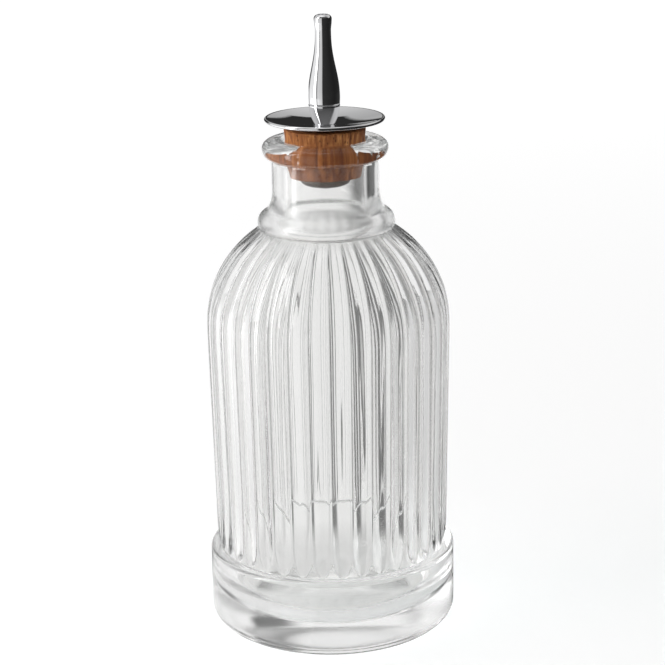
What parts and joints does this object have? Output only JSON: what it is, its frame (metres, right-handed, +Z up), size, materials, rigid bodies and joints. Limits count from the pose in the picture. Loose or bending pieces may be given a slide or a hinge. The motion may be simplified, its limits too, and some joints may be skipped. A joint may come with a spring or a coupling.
{
  "type": "bitters bottle",
  "caption": "Ribbed clear glass bottle with a plain foot, domed shoulder and beaded neck, closed by a cork stopper with a dished metal drip disc and a slim dash spout.",
  "frame": {"origin": "centre of the foot, on the surface that the bottle stands on", "axes": "+Z up along the bottle's axis; the bottle and its stopper are round about Z, and the picture is taken from -Y"},
  "size_m": [0.062, 0.062, 0.155],
  "materials": {
    "glass": "clear pressed soda-lime glass, fire polished",
    "cork": "natural cork, matt, with grain and small pores",
    "polished_metal": "mirror polished plating",
    "plain_steel": "dull dark steel"
  },
  "bodies": {
    "bottle": {"bottle": "glass"},
    "stopper": {"cork": "cork", "drip_disc": "polished_metal", "spout_collar": "polished_metal", "dash_spout": "polished_metal", "feed_tube": "plain_steel", "retaining_nut": "plain_steel"}
  },
  "joints": [
    {"name": "stopper_lift", "type": "slide", "parent": "bottle", "child": "stopper", "axis": [0, 0, 1], "range_m": [0, 0.03]}
  ]
}
